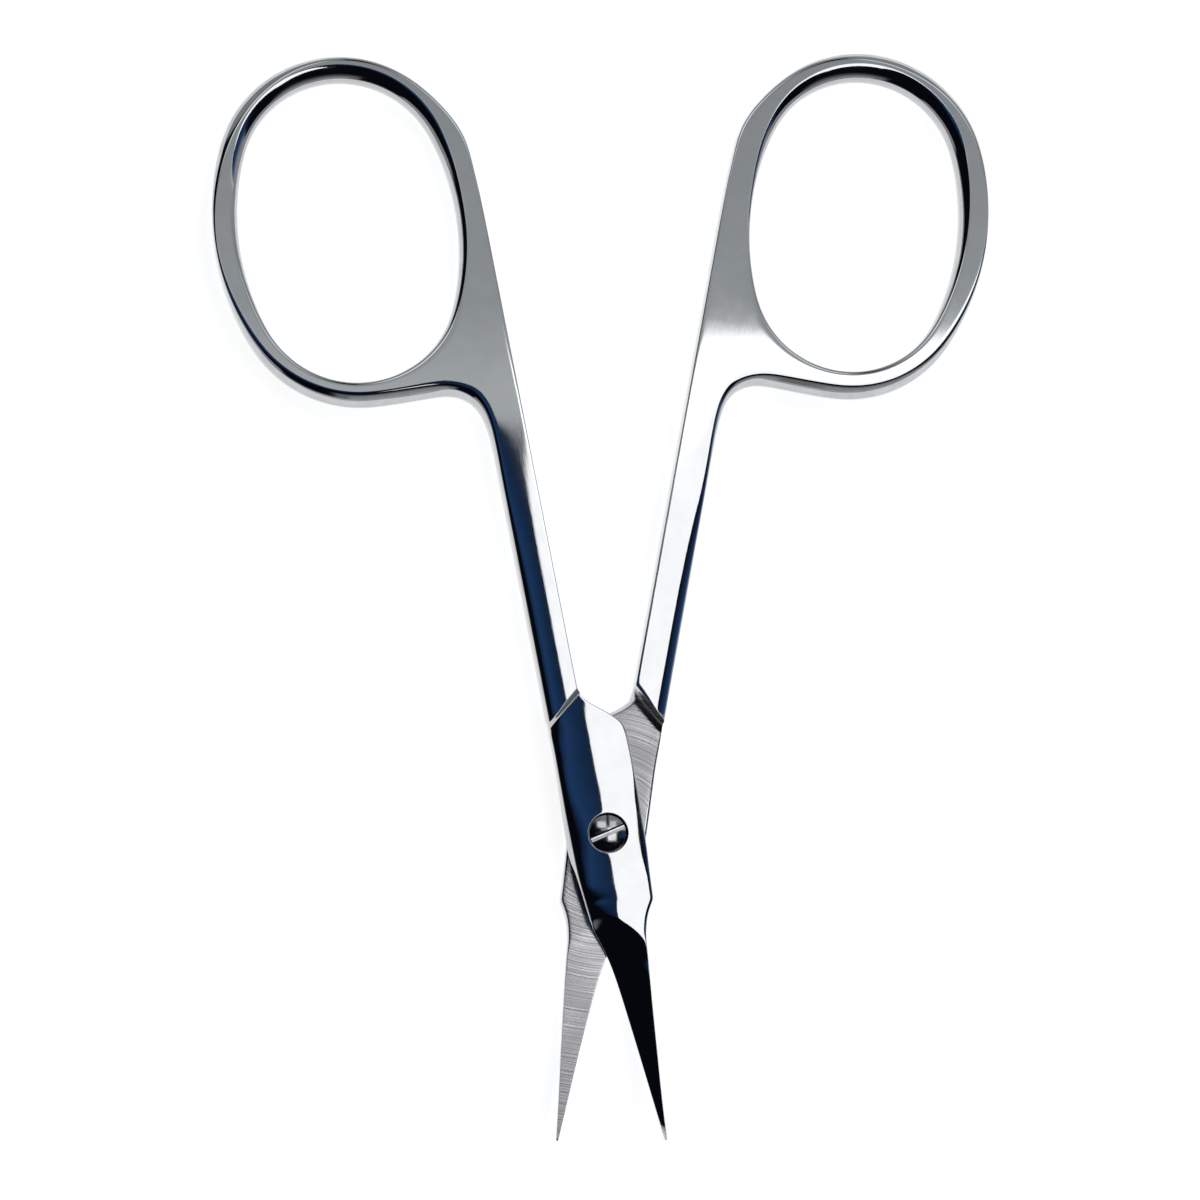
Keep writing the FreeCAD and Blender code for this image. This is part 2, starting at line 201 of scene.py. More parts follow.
def cross_section(left, right, face, base, lips, holds=bar_holds, bow=0, draft=0, back_round=0):
    """One section across the half: front from left to right, right wall, back, left wall.

    The bow lifts the middle of the section towards the ring, and the draft sets out the left wall's foot.
    """
    left = Vector(left)
    right = Vector(right)
    foot = left - Vector((draft, 0))
    width = (right - left).length
    front_left, front_right, back_right, back_left = (lip / width for lip in lips)
    left_hold, right_hold = holds

    def across(start, share):
        place = start.lerp(right, share)
        place.y += bow * 4 * share * (1 - share)
        return place

    def front(share):
        return at_height(across(left, share), face(share))

    def back(share):
        rounding = back_round * max(0, 1 - share / back_round_share) ** 2
        return at_height(across(foot, share), base + rounding)

    front_shares = (front_left, max(left_hold, front_left * lip_spread), 0.5,
                    min(1 - right_hold, 1 - front_right * lip_spread), 1 - front_right)
    back_shares = (1 - back_right, min(1 - right_hold, 1 - back_right * lip_spread), 0.5,
                   max(left_hold, back_left * lip_spread), back_left)
    right_top = at_height(right, face(1) - lips[1] * lip_fall)
    right_foot = at_height(right, base + lips[2] * lip_fall)
    left_foot = at_height(foot, base + back_round + lips[3] * lip_fall)
    left_top = at_height(left, face(0) - lips[0] * lip_fall)
    return ([front(share) for share in front_shares]
            + [right_top, (right_top + right_foot) / 2, right_foot]
            + [back(share) for share in back_shares]
            + [left_foot, (left_foot + left_top) / 2, left_top])


# Lap: the back of the bar is cut to half its thickness under a slanting hollow shoulder, and on the front
# a small slanting step leads up to the boss. Each row: reach of both ends, height of the back
lap_gap = 0.03
shoulder_lip = 0.1
shoulder_rows = ((12.2, 15.0, -1.5),
                 (11.4, 14.2, -1.5),
                 (11.3, 14.08, -1.44),
                 (11.22, 13.98, -0.75),
                 (11.14, 13.9, -0.48),
                 (10.93, 13.74, -0.26))
satin_shoulder_row = 3
step_rows = ((10.5, 13.3, -0.08),
             (10.38, 13.13, -0.02),
             (10.22, 12.92, lap_gap))
step_proud = 0.05
# Heights of left edge, ridge and right edge, share of the width at the ridge
step_face = (1.6, 2.24, 2.22, 0.76)
step_lips = (0.15, 0.06, 0.45, 0.1)
step_holds = (0.25, 0.035)

# Boss: domed in front, with its ridge left of the middle. Each row: reach of its left end, its right end,
# heights of left edge, ridge and right edge, share of the width at the ridge
boss_left = -3.58
boss_right = 3.5
boss_proud = 0.08
boss_dome = (1.72, 2.28, 1.95, 0.42)
boss_lips = (0.12, 0.08, 0.1, 0.1)
boss_crotch_holds = (0.14, 0.035)
boss_crotch_rows = ((9.95, (0.3, 12.5), 1.61, 2.25, 2.23, 0.72),
                    (9.55, (1.0, 11.85), 1.64, 2.26, 2.22, 0.65),
                    (8.95, (1.9, 11.2), 1.67, 2.265, 2.17, 0.56),
                    (8.2, (2.8, 10.4), 1.69, 2.27, 2.09, 0.49),
                    (7.4, (3.38, 9.75), 1.71, 2.275, 2.01, 0.44))
# Each row: left end, right end, how far the left wall's foot stands out
boss_holds = (0.13, 0.035)
boss_rows = (((-3.5, 6.6), (3.55, 9.0), 0),
             ((-3.53, 5.4), (3.57, 7.0), 0.03),
             ((-3.55, 4.0), (3.57, 4.6), 0.08))
pivot_holds = (0.12, 0.07)
pivot_rows = (((-3.57, 2.75), (3.56, 2.75), 0.12),
              ((-3.58, 0), (3.46, 0), 0.22),
              ((-3.55, -2.75), (3.27, -2.75), 0.3))
# Each row: left end, right end, heights of left edge, ridge and right edge, bow, left wall's foot
heel_holds = (0.14, 0.07)
heel_rows = (((-3.48, -4.1), (3.14, -4.5), 1.7, 2.26, 1.92, 0, 0.3),
             ((-3.4, -5.0), (3.07, -5.6), 1.67, 2.22, 1.88, 0.1, 0.28),
             ((-3.34, -5.6), (3.04, -6.4), 1.63, 2.19, 1.85, 0.25, 0.26),
             ((-3.3, -6.0), (3.0, -6.75), 1.6, 2.175, 1.83, 0.4, 0.22),
             ((-3.27, -6.4), (2.5, -7.5), 1.57, 2.15, 1.8, 0.6, 0.2),
             ((-3.22, -6.9), (2.08, -8.4), 1.53, 2.11, 1.76, 0.8, 0.14),
             ((-3.18, -7.3), (1.75, -9.7), 1.49, 2.06, 1.7, 1.0, 0.08),
             ((-3.16, -7.55), (1.64, -10.5), 1.45, 2.02, 1.65, 1.05, 0.05))

# Blade: hollow behind the boss, flat inside, bevelled outside to a thin edge, and bent up to a needle tip.
# Each row: cutting edge, spine, thickness at both, bow
blade_gap = 0.06
tip_reach = 28.7
bend_start = 8.6
tip_rise = 3.0
bend_power = 1.7
blade_lips = (0.03, 0.05, 0.02, 0.02)
blade_holds = (0.15, 0.07)
blade_rows = (((-2.95, -8.3), (1.55, -11.6), 0.75, 1.38, 0.85),
              ((-2.7, -9.0), (1.5, -12.2), 0.5, 1.28, 0.6),
              ((-2.37, -10.0), (1.43, -12.8), 0.32, 1.22, 0.4),
              ((-2.02, -11.2), (1.36, -13.6), 0.2, 1.2, 0.25),
              ((-1.65, -13.4), (1.17, -15.3), 0.14, 1.1, 0.1),
              ((-1.32, -17.0), (0.85, -18.2), 0.12, 0.95, 0),
              ((-1.02, -20.5), (0.52, -21.2), 0.1, 0.8, 0),
              ((-0.75, -24.3), (0.12, -24.6), 0.08, 0.65, 0),
              ((-0.55, -27.3), (-0.15, -27.4), 0.07, 0.5, 0),
              ((-0.44, -28.6), (-0.27, -28.6), 0.06, 0.4, 0))


def bent(section, curl):
    """The section, lifted by the bend that carries the blade up to its tip."""
    for point in section:
        past = max(0, (-point.y - bend_start) / (tip_reach - bend_start))
        point.z += curl * tip_rise * past**bend_power
    return section


def half_sections(ring_reach, curl):
    """Sections of one half from ring to tip, and the numbers of its first in satin and first at the hole."""
    outer = inner_edge - shank_width
    foot = ring_reach - hole_half_length - (top_bar + bottom_bar) / 2
    flat = sloping(bar_half, bar_half)
    rows = []
    for left_x, left_down, right_down, lip in crotch_rows:
        left = (left_x, foot - left_down)
        right = (inner_edge, foot - right_down)
        lips = (lip, shank_lips[1], shank_lips[2], lip)
        rows.append(cross_section(left, right, flat, -bar_half, lips))
    for left_y, right_y, share in shank_rows:
        face = crowned(bar_half - shank_drop * share, bar_half, bar_half - shank_inner_drop * share,
                       shank_ridge_share)
        rows.append(cross_section((outer, left_y), (inner_edge, right_y), face, -bar_half, shank_lips,
                                  back_round=shank_back_round * share))
    ground = crowned(bar_half - shank_drop, bar_half, bar_half - shank_inner_drop, shank_ridge_share)
    satin_start = len(rows) + satin_shoulder_row
    for left_y, right_y, base in shoulder_rows:
        rounding = shank_back_round if base == -bar_half else 0
        lips = (shank_lips[0], shank_lips[1], shoulder_lip, shoulder_lip)
        rows.append(cross_section((outer, left_y), (inner_edge, right_y), ground, base, lips,
                                  back_round=rounding))
    raised = crowned(*step_face)
    for left_y, right_y, base in step_rows:
        rows.append(cross_section((outer - step_proud, left_y), (inner_edge + step_proud, right_y), raised,
                                  base, step_lips, step_holds))
    for left_y, right, left_top, ridge, right_top, ridge_share in boss_crotch_rows:
        face = crowned(left_top, ridge, right_top, ridge_share)
        left = (outer - boss_proud, left_y)
        lips = (boss_lips[0], boss_lips[1], step_lips[2], boss_lips[3])
        rows.append(cross_section(left, right, face, lap_gap, lips, boss_crotch_holds))
    dome = crowned(*boss_dome)
    for left, right, draft in boss_rows:
        rows.append(cross_section(left, right, dome, lap_gap, boss_lips, boss_holds, draft=draft))
    hole_row = len(rows)
    for left, right, draft in pivot_rows:
        rows.append(cross_section(left, right, dome, lap_gap, boss_lips, pivot_holds, draft=draft))
    for left, right, left_top, ridge, right_top, bow, draft in heel_rows:
        face = crowned(left_top, ridge, right_top, boss_dome[3])
        section = cross_section(left, right, face, lap_gap, boss_lips, heel_holds, bow=bow, draft=draft)
        rows.append(bent(section, curl))
    for left, right, edge, spine, bow in blade_rows:
        face = sloping(blade_gap + edge, blade_gap + spine)
        section = cross_section(left, right, face, blade_gap, blade_lips, blade_holds, bow=bow)
        rows.append(bent(section, curl))
    return rows, satin_start, hole_row


def dome_height(x):
    return crowned(*boss_dome)((x - boss_left) / (boss_right - boss_left))


# Points of a ring section by number, counted from the front's outer edge, with those on its rounded edges
ring_points = 14
front_lip = 0
front_flat = 1
back_flat = 9
back_lip = 10
wall_foot = 11
wall_middle = 12
wall_top = 13
ring_edges = (0, 3, 4, 6, 7, 10, 11, 13)
ring_stations = 45
ring_turns = [shank_top_turn + (crotch_turn - shank_top_turn) * i / (ring_stations - 1)
              for i in range(ring_stations)]
root_shares = (0.25, 0.5, 0.75)


def ring_cage(bm, ring_reach, hole_growth, rolled, hole_lips):
    """The bar around the finger hole, closed at the shank's root by sections that have no outer wall."""
    outside, hole = ring_outlines(ring_reach, hole_growth)
    last = ring_stations - 1
    ring = [ring_section(*outside(turn), *hole(turn), turn, rolled, hole_lips) for turn in ring_turns]
    root_start = ring[last][front_flat].to_2d()
    root_end = ring[0][front_flat].to_2d()
    for share in root_shares:
        turn = crotch_turn + (shank_top_turn + 2 * math.pi - crotch_turn) * share
        chord = root_start.lerp(root_end, share)
        section = ring_section(chord, Vector((0, 0)), *hole(turn), turn, rolled, hole_lips)
        ring.append([point if front_flat <= i <= back_flat else None for i, point in enumerate(section)])
    ring = [[None if point is None else bm.verts.new(point) for point in section] for section in ring]
    for number in range(len(ring)):
        here = ring[number]
        there = ring[(number + 1) % len(ring)]
        for i in range(ring_points):
            j = (i + 1) % ring_points
            corners = (here[i], here[j], there[j], there[i])
            if None not in corners and (number < last or front_flat <= i < back_flat):
                bm.faces.new(corners)
    return ring


# Points of a section of the bar by number, counted from the front's left edge
bar_points = 16
front_end = 4
back_start = 8
back_end = 12
bar_edges = (0, 4, 5, 7, 8, 12, 13, 15)
# The pivot hole's eight corners, clockwise: pivot row and point of the front where each lies
rim_radius = 2.75
rim_places = ((0, 1), (0, 2), (0, 3), (1, 3), (2, 3), (2, 2), (2, 1), (1, 1))
rim_middle = (2, 10)
hole_corners = [math.radians(135 - 45 * i) for i in range(8)]
# A smoothed ring of eight points ends up this much smaller than it was drawn
circle_shrink = (2 + math.cos(math.radians(45))) / 3


def bar_cage(bm, ring, ring_reach, curl):
    """Shank, boss and blade as rows of points from the ring to the tip, and the number of the hole's row."""
    start = ring[ring_stations - 1]
    left_root, root, right_root = ring[ring_stations:]
    end = ring[0]
    first = [start[front_lip], start[front_flat], root[front_flat], end[front_flat], end[front_lip],
             end[wall_top], end[wall_middle], end[wall_foot],
             end[back_lip], end[back_flat], root[back_flat], start[back_flat], start[back_lip],
             start[wall_foot], start[wall_middle], start[wall_top]]
    between = {1: left_root[front_flat], 2: right_root[front_flat],
               9: right_root[back_flat], 10: left_root[back_flat]}
    sections, satin_start, hole_row = half_sections(ring_reach, curl)
    rows = [first]
    for number, section in enumerate(sections):
        pivot_row = number - hole_row
        for (row, column), corner in zip(rim_places, hole_corners):
            if row == pivot_row:
                x = rim_radius * math.cos(corner)
                y = rim_radius * math.sin(corner)
                section[column] = Vector((x, y, dome_height(x)))
                section[back_end - column] = Vector((x, y, lap_gap))
        skipped = rim_middle if pivot_row == 1 else ()
        rows.append([None if i in skipped else bm.verts.new(point) for i, point in enumerate(section)])
    for number in range(len(rows) - 1):
        here = rows[number]
        there = rows[number + 1]
        for i in range(bar_points):
            j = (i + 1) % bar_points
            corners = [here[i], here[j], there[j], there[i]]
            if None in corners:
                continue
            if number == 0 and i in between:
                corners.insert(1, between[i])
            face = bm.faces.new(corners)
            face.material_index = int(number > satin_start and back_start <= i < back_end)
    tip = rows[-1]
    for i in range(front_end):
        bm.faces.new((tip[i], tip[i + 1], tip[back_end - 1 - i], tip[back_end - i]))
    bm.faces.new(tip[front_end:back_start + 1])
    bm.faces.new(tip[back_end:] + tip[:1])
    return rows, hole_row


def pivot_hole(bm, rows, hole_row, bores):
    """The hole through the boss, ring by ring, from its rim on the dome to its rim on the lap."""
    upper = [rows[hole_row + 1 + row][column] for row, column in rim_places]
    lower = [rows[hole_row + 1 + row][back_end - column] for row, column in rim_places]
    loops = [upper]
    for radius, height, from_dome in bores:
        loop = []
        for corner in hole_corners:
            x = radius / circle_shrink * math.cos(corner)
            y = radius / circle_shrink * math.sin(corner)
            loop.append(bm.verts.new((x, y, dome_height(x) + height if from_dome else height)))
        loops.append(loop)
    loops.append(lower)
    for here, there in zip(loops, loops[1:]):
        for i in range(len(hole_corners)):
            j = (i + 1) % len(hole_corners)
            face = bm.faces.new((here[i], here[j], there[j], there[i]))
            face.material_index = int(there is lower)


smoothing_levels = 3


def forging(name, ring_reach, hole_growth, rolled, hole_lips, curl, bores, placing, materials):
    """One half as a smooth closed mesh, from its sections, with its finger hole and its pivot hole."""
    bm = bmesh.new()
    rubbed = bm.verts.layers.float.new("rubbed")
    ring = ring_cage(bm, ring_reach, hole_growth, rolled, hole_lips)
    rows, hole_row = bar_cage(bm, ring, ring_reach, curl)
    pivot_hole(bm, rows, hole_row, bores)
    for section in ring:
        for i in ring_edges:
            if section[i]:
                section[i][rubbed] = 1
    for section in rows[1:]:
        for i in bar_edges:
            section[i][rubbed] = 1
    bmesh.ops.recalc_face_normals(bm, faces=bm.faces)
    bmesh.ops.transform(bm, matrix=placing, verts=bm.verts)
    mesh = bpy.data.meshes.new(name)
    bm.to_mesh(mesh)
    bm.free()
    for polygon in mesh.polygons:
        polygon.use_smooth = True
    for material in materials:
        mesh.materials.append(material)
    piece = bpy.data.objects.new(name, mesh)
    bpy.context.scene.collection.objects.link(piece)
    smooth = piece.modifiers.new("smooth", "SUBSURF")
    smooth.levels = smoothing_levels
    smooth.render_levels = smoothing_levels
    return piece


def add_node(tree, kind, **values):
    """A node of the given kind, with its settings and the values of its sockets, which may be links."""
    node = tree.nodes.new(kind)
    for name, value in values.items():
        if hasattr(node, name):
            setattr(node, name, value)
            continue
        socket = node.inputs[int(name[1:])] if name[0] == "_" else node.inputs[name.replace("_", " ")]
        if isinstance(value, bpy.types.NodeSocket):
            tree.links.new(value, socket)
        else:
            socket.default_value = value
    return node


def ramp_node(tree, factor, *stops):
    """Colours or greys between stops, each a position and what it shows there."""
    node = add_node(tree, "ShaderNodeValToRGB", Fac=factor)
    elements = node.color_ramp.elements
    while len(elements) < len(stops):
        elements.new(1)
    for element, (position, colour) in zip(elements, stops):
        element.position = position
        element.color = (*colour, 1) if isinstance(colour, tuple) else (colour, colour, colour, 1)
    return node.outputs["Color"]


def bare_steel(name):
    """A new metal with its node tree, its shader and the place on the piece."""
    material = bpy.data.materials.new(name)
    material.use_nodes = True
    tree = material.node_tree
    shader = tree.nodes["Principled BSDF"]
    shader.inputs["Metallic"].default_value = 1
    place = add_node(tree, "ShaderNodeTexCoord").outputs["Object"]
    return material, tree, shader, place


# Polish: its colours and roughness, and in metres the spread of its lines and the depth of lines and waves.
# Noise is used between its usual low and high
noise_low = 0.3
noise_high = 0.7
dull_polish = (0.5, 0.51, 0.52)
bright_polish = (0.54, 0.55, 0.56)
rubbed_polish = (0.58, 0.59, 0.6, 1)
rubbed_from = 0.42
rubbed_fully = 0.62
finest_polish = 0.038
coarsest_polish = 0.052
rubbed_coarser = 0.05
polish_line_spread = (0.00012, 0.004, 0.00012)
polish_line_depth = 0.0000006
polish_wave_depth = 0.000004


def polished_steel(name, lean):
    """Mirror-bright stainless: slight waves of hand polishing, fine lines along the half, rubbed edges."""
    material, tree, shader, place = bare_steel(name)
    along = add_node(tree, "ShaderNodeMapping", vector_type="TEXTURE", Vector=place, Rotation=(0, 0, lean),
                     Scale=polish_line_spread).outputs["Vector"]
    lines = add_node(tree, "ShaderNodeTexNoise", Vector=along, Scale=1, Detail=3,
                     Roughness=0.6).outputs["Fac"]
    waves = add_node(tree, "ShaderNodeTexNoise", Vector=place, Scale=120, Detail=0).outputs["Fac"]
    haze = add_node(tree, "ShaderNodeTexNoise", Vector=place, Scale=420, Detail=5,
                    Roughness=0.65).outputs["Fac"]
    edge = add_node(tree, "ShaderNodeAttribute", attribute_name="rubbed").outputs["Fac"]
    handled = add_node(tree, "ShaderNodeMath", operation="MULTIPLY", _0=edge, _1=haze)
    worn = ramp_node(tree, handled.outputs["Value"], (rubbed_from, 0.0), (rubbed_fully, 1.0))
    tint = ramp_node(tree, haze, (noise_low, dull_polish), (noise_high, bright_polish))
    colour = add_node(tree, "ShaderNodeMix", data_type="RGBA", _0=worn, _6=tint, _7=rubbed_polish)
    tree.links.new(colour.outputs[2], shader.inputs["Base Color"])
    gloss = add_node(tree, "ShaderNodeMapRange", Value=haze, From_Min=noise_low, From_Max=noise_high,
                     To_Min=finest_polish, To_Max=coarsest_polish)
    rubbed = add_node(tree, "ShaderNodeMath", operation="MULTIPLY_ADD", _0=worn, _1=rubbed_coarser,
                      _2=gloss.outputs["Result"])
    tree.links.new(rubbed.outputs["Value"], shader.inputs["Roughness"])
    soft = add_node(tree, "ShaderNodeBump", Height=waves, Strength=1, Distance=polish_wave_depth)
    fine = add_node(tree, "ShaderNodeBump", Height=lines, Strength=1, Distance=polish_line_depth,
                    Normal=soft.outputs["Normal"])
    tree.links.new(fine.outputs["Normal"], shader.inputs["Normal"])
    return material


def reach_from_pivot(tree, place):
    """How far a place on the piece lies from the pivot's axis, in metres."""
    offset = add_node(tree, "ShaderNodeVectorMath", operation="SUBTRACT", _0=place, _1=pivot)
    level = add_node(tree, "ShaderNodeVectorMath", operation="MULTIPLY", _0=offset.outputs["Vector"],
                     _1=(1, 1, 0))
    reach = add_node(tree, "ShaderNodeVectorMath", operation="LENGTH", _0=level.outputs["Vector"])
    return reach.outputs["Value"]


# Satin: the greys of the wheel's marks, their number to the metre, and their wander and depth in metres
deep_mark = (0.24, 0.235, 0.24)
plain_satin = (0.43, 0.42, 0.43)
high_mark = (0.66, 0.65, 0.66)
finest_satin = 0.2
coarsest_satin = 0.32
wheel_marks = 5500
wheel_wander = 0.00008
wheel_mark_depth = 0.000012


def ground_steel(name):
    """Satin stainless as the wheel leaves it: fine arcs about the pivot, which also cross the blade."""
    material, tree, shader, place = bare_steel(name)
    patches = add_node(tree, "ShaderNodeTexNoise", Vector=place, Scale=350, Detail=0).outputs["Fac"]
    wander = add_node(tree, "ShaderNodeMath", operation="MULTIPLY_ADD", _0=patches, _1=wheel_wander,
                      _2=reach_from_pivot(tree, place))
    count = add_node(tree, "ShaderNodeMath", operation="MULTIPLY", _0=wander.outputs["Value"],
                     _1=wheel_marks)
    lines = add_node(tree, "ShaderNodeTexNoise", noise_dimensions="1D", W=count.outputs["Value"], Scale=1,
                     Detail=4, Roughness=0.75).outputs["Fac"]
    tint = ramp_node(tree, lines, (noise_low, deep_mark), (0.5, plain_satin), (noise_high, high_mark))
    tree.links.new(tint, shader.inputs["Base Color"])
    gloss = add_node(tree, "ShaderNodeMapRange", Value=patches, From_Min=noise_low, From_Max=noise_high,
                     To_Min=finest_satin, To_Max=coarsest_satin)
    tree.links.new(gloss.outputs["Result"], shader.inputs["Roughness"])
    grooves = add_node(tree, "ShaderNodeBump", Height=lines, Strength=1, Distance=wheel_mark_depth)
    tree.links.new(grooves.outputs["Normal"], shader.inputs["Normal"])
    return material


to_metres = Matrix.Scale(MM, 4)
turned_over = Matrix.Rotation(math.pi, 4, "Y")
back_placing = Matrix.Translation(pivot) @ Matrix.Rotation(-half_opening, 4, "Z") @ turned_over @ to_metres
# Each ring of the tapped hole: radius, height, and whether that counts from the domed face
thread_bore = ((1.3, 0, True), (1.08, -0.02, True), (1.03, -0.15, True), (1.03, 0.2, False),
               (1.06, lap_gap, False), (1.3, lap_gap, False))
satin = ground_steel("ground_steel")
back_steel = polished_steel("back_half_steel", -half_opening)
# The rolled edge has a width and a direction from the ring's centre, the hole a rounding at its outer and its
# inner side, and the curl says which way the blade bends, as this half lies on its face
back_reach = 61.55
back_hole_growth = -0.15
back_rolled = (0.45, math.radians(98))
back_hole_lips = (0.65, 0)
back_curl = -1
back_half = forging("back_half_forging", back_reach, back_hole_growth, back_rolled, back_hole_lips, back_curl,
                    thread_bore, back_placing, (back_steel, satin))
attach(back_half, "back_half")
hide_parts("back_half")

# Front half: the upper forging, with the left-hand ring and the right-hand blade, made from the same blank.
# Its boss is counterbored for the head of the pivot screw and turns on the screw's plain neck.
front_placing = Matrix.Translation(pivot) @ Matrix.Rotation(half_opening, 4, "Z") @ to_metres
# Each ring of the counterbored hole: radius, height, and whether that counts from the domed face
head_bore = ((1.92, 0, True), (1.86, -0.005, True), (1.84, -0.04, True), (1.84, 1.4, False),
             (1.76, 1.25, False), (1.45, 1.25, False), (1.29, 1.15, False), (1.29, 0.2, False),
             (1.33, lap_gap, False), (1.6, lap_gap, False))
front_steel = polished_steel("front_half_steel", half_opening)
front_reach = 60.05
front_hole_growth = 0.12
front_rolled = (0.6, math.radians(122))
front_hole_lips = (0.5, 0.3)
front_curl = 1
front_half = forging("front_half_forging", front_reach, front_hole_growth, front_rolled, front_hole_lips,
                     front_curl, head_bore, front_placing, (front_steel, satin))
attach(front_half, "front_half")
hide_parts("front_half")

# Pivot screw: turned from stainless bar, with a low domed head in the front half's counterbore, a plain neck
# that the front half turns on, and a threaded end held by the back half. The slot is milled across the head.
screw_sides = 64
dome_rings = 12
head_radius = 1.67
head_seat = 1.28
head_rim = 2.03
head_crown = 0.3
rim_round = 0.06
neck_radius = 1.25
thread_radius = 1.0
tail = -2.1
tail_chamfer = 0.18


def screw_profile():
    """Radius and height of each turned ring, from the end of the thread to the middle of the head."""
    points = [(0, tail), (thread_radius - tail_chamfer, tail), (thread_radius, tail + tail_chamfer),
              (thread_radius, 0), (neck_radius, 0), (neck_radius, head_seat),
              (head_radius - rim_round, head_seat), (head_radius, head_seat + rim_round),
              (head_radius, head_rim - rim_round)]
    for i in range(dome_rings + 1):
        radius = (head_radius - rim_round / 2) * (1 - i / dome_rings)
        points.append((radius, head_rim + head_crown * (1 - (radius / head_radius) ** 2)))
    return points


def placed(name, bm, placing):
    """The finished cage as an object in the scene, set in its place."""
    bmesh.ops.recalc_face_normals(bm, faces=bm.faces)
    bmesh.ops.transform(bm, matrix=placing, verts=bm.verts)
    mesh = bpy.data.meshes.new(name)
    bm.to_mesh(mesh)
    bm.free()
    piece = bpy.data.objects.new(name, mesh)
    bpy.context.scene.collection.objects.link(piece)
    return piece


def turned(name, profile, placing):
    """A solid turned from its profile, in flat strips that meet in one point at each end."""
    bm = bmesh.new()
    rings = []
    for radius, height in profile:
        sides = screw_sides if radius else 1
        turns = [2 * math.pi * i / sides for i in range(sides)]
        rings.append([bm.verts.new((radius * math.cos(turn), radius * math.sin(turn), height))
                      for turn in turns])
    for below, above in zip(rings, rings[1:]):
        for i in range(screw_sides):
            j = (i + 1) % screw_sides
            corners = (below[i % len(below)], below[j % len(below)],
                       above[j % len(above)], above[i % len(above)])
            bm.faces.new(dict.fromkeys(corners))
    return placed(name, bm, placing)


# Slot: its floor is hollow, as the edge of the milling cutter leaves it, and its edges are eased
slot_width = 0.55
slot_depth = 0.45
slot_hollow = 0.05
slot_turn = math.radians(23)
slot_floor = head_rim + head_crown - slot_depth
slot_easing = 0.05
easing_angle = math.radians(40)
cutter_half_length = head_radius * 2
cutter_height = 2
cutter_facets = 8


def slot_cutter(placing):
    """The bar of metal that the milling takes away, as a solid of its own."""
    profile = [(-slot_width / 2, slot_floor + cutter_height)]
    for i in range(cutter_facets + 1):
        share = 2 * i / cutter_facets - 1
        profile.append((share * slot_width / 2, slot_floor + slot_hollow * share**2))
    profile.append((slot_width / 2, slot_floor + cutter_height))
    bm = bmesh.new()
    near = [bm.verts.new((-cutter_half_length, y, z)) for y, z in profile]
    far = [bm.verts.new((cutter_half_length, y, z)) for y, z in profile]
    for i in range(len(profile)):
        j = (i + 1) % len(profile)
        bm.faces.new((near[i], far[i], far[j], near[j]))
    bm.faces.new(near)
    bm.faces.new(far)
    return placed("slot_cutter", bm, placing)


# Turned finish: its greys and roughness, the lathe's marks to the metre, and their depth in metres
dark_turning = (0.4, 0.4, 0.41)
bright_turning = (0.55, 0.55, 0.56)
finest_turning = 0.07
coarsest_turning = 0.14
lathe_marks = 16000
lathe_mark_depth = 0.0000015


def screw_steel():
    """Turned stainless, a little darker than the halves, with the lathe's rings on its head."""
    material, tree, shader, place = bare_steel("screw_steel")
    count = add_node(tree, "ShaderNodeMath", operation="MULTIPLY", _0=reach_from_pivot(tree, place),
                     _1=lathe_marks)
    rings = add_node(tree, "ShaderNodeTexNoise", noise_dimensions="1D", W=count.outputs["Value"], Scale=1,
                     Detail=2).outputs["Fac"]
    marks = add_node(tree, "ShaderNodeTexNoise", Vector=place, Scale=2200, Detail=4).outputs["Fac"]
    tint = ramp_node(tree, marks, (noise_low, dark_turning), (noise_high, bright_turning))
    tree.links.new(tint, shader.inputs["Base Color"])
    gloss = add_node(tree, "ShaderNodeMapRange", Value=marks, From_Min=noise_low, From_Max=noise_high,
                     To_Min=finest_turning, To_Max=coarsest_turning)
    tree.links.new(gloss.outputs["Result"], shader.inputs["Roughness"])
    turning = add_node(tree, "ShaderNodeBump", Height=rings, Strength=1, Distance=lathe_mark_depth)
    tree.links.new(turning.outputs["Normal"], shader.inputs["Normal"])
    return material


screw_placing = Matrix.Translation(pivot) @ Matrix.Rotation(slot_turn, 4, "Z") @ to_metres
pivot_screw = turned("pivot_screw_turned", screw_profile(), screw_placing)
cutter = slot_cutter(screw_placing)
milling = pivot_screw.modifiers.new("slot", "BOOLEAN")
milling.operation = "DIFFERENCE"
milling.solver = "EXACT"
milling.object = cutter
milled = bpy.data.meshes.new_from_object(pivot_screw.evaluated_get(bpy.context.evaluated_depsgraph_get()))
pivot_screw.modifiers.clear()
pivot_screw.data = milled
bpy.data.objects.remove(cutter)
for polygon in milled.polygons:
    polygon.use_smooth = True
milled.materials.clear()
milled.materials.append(screw_steel())
easing = pivot_screw.modifiers.new("eased_edges", "BEVEL")
easing.width = slot_easing * MM
easing.segments = 2
easing.limit_method = "ANGLE"
easing.angle_limit = easing_angle
easing.harden_normals = True
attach(pivot_screw, "pivot_screw")
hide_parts("pivot_screw")

